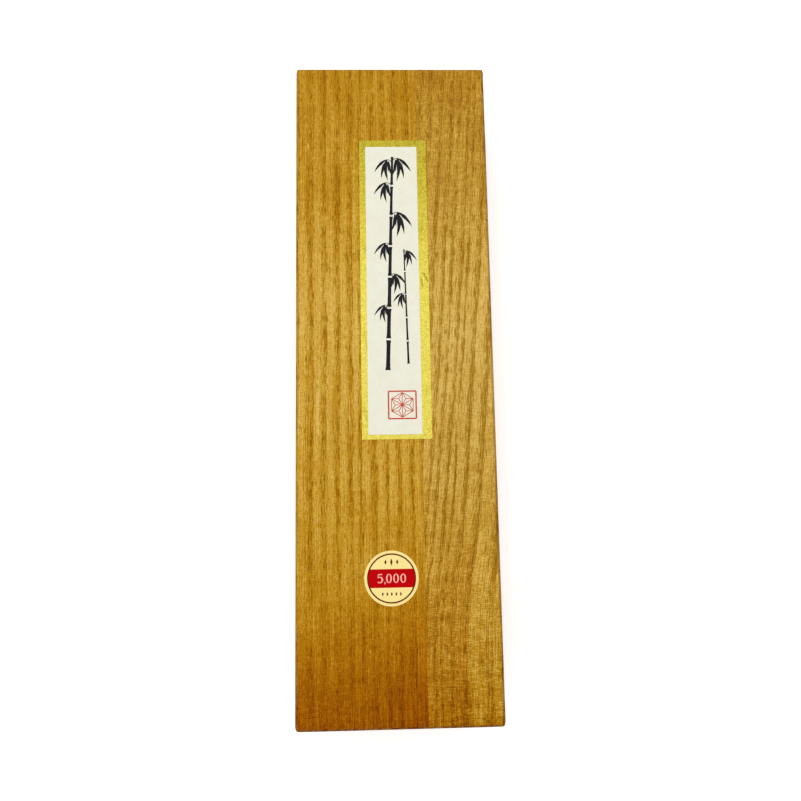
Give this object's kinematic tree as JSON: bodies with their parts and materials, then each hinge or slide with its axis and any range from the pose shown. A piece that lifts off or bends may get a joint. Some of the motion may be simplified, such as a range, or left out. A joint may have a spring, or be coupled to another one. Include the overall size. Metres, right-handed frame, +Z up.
{
  "type": "boxed ink stick",
  "caption": "Stick of solid calligraphy ink in a fitted bed, inside a long stained wooden box with a lift-off board lid, a gold-bordered paper label and a round sticker.",
  "frame": {"origin": "middle of the box's underside", "axes": "+Y along the box towards the head end, where the label is; +X across it to the right as the label is read; +Z up, out of the lid"},
  "size_m": [0.0596, 0.2, 0.0303],
  "materials": {
    "lid_wood": "amber stain, oiled",
    "wall_wood": "amber stain, oiled",
    "raw_wood": "planed, bare",
    "peg_wood": "split and shaved, bare",
    "ink": "moulded soot and glue, burnished",
    "gold_paper": "metallic gold",
    "white_paper": "soft fibrous paper",
    "sticker_paper": "coated paper"
  },
  "bodies": {
    "base": {"floor_board": "wall_wood", "side_wall_left": "wall_wood", "side_wall_right": "wall_wood", "end_wall_head": "wall_wood", "end_wall_foot": "wall_wood", "corner_pegs": "peg_wood", "floor_pegs": "peg_wood", "bed_block_head": "raw_wood", "bed_block_foot": "raw_wood", "bed_rail_left_head": "raw_wood", "bed_rail_left_foot": "raw_wood", "bed_rail_right_head": "raw_wood", "bed_rail_right_foot": "raw_wood"},
    "stick": {"ink_stick": "ink"},
    "lid": {"lid_board_wide": "lid_wood", "lid_board_narrow": "lid_wood", "lid_batten_head": "raw_wood", "lid_batten_foot": "raw_wood", "batten_pegs": "peg_wood", "label_backing": "gold_paper", "label_sheet": "white_paper", "price_sticker": "sticker_paper"}
  },
  "joints": [
    {"name": "stick_lift", "type": "slide", "parent": "base", "child": "stick", "axis": [0, 0, 1], "range_m": [0, 0.04]},
    {"name": "lid_lift", "type": "slide", "parent": "stick", "child": "lid", "axis": [0, 0, 1], "range_m": [0, 0.07]}
  ]
}
